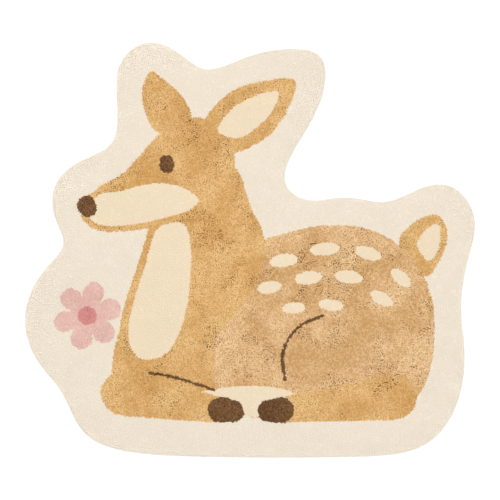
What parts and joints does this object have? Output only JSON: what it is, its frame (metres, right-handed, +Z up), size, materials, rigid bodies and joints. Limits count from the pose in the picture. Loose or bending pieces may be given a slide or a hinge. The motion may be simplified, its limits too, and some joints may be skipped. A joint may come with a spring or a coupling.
{
  "type": "animal shaped kids rug",
  "caption": "Flat tufted cotton rug for a child's room, cut to the outline of a resting fawn with a smooth plain border.",
  "frame": {"origin": "on the floor, under the middle of the rug's box", "axes": "+Z up from the floor, +X across the rug towards the fawn's tail, +Y up the rug towards the ears"},
  "size_m": [1.1, 1.015, 0.0153],
  "materials": {
    "cream_pile": "short cut cotton pile, matte",
    "tan_pile": "short cut cotton pile, matte",
    "pale_tan_pile": "short cut cotton pile, matte",
    "brown_pile": "short cut cotton pile, matte",
    "pink_pile": "short cut cotton pile, matte",
    "backing_canvas": "plain woven cotton canvas"
  },
  "bodies": {
    "root": {"rug": "cream_pile"}
  },
  "joints": []
}
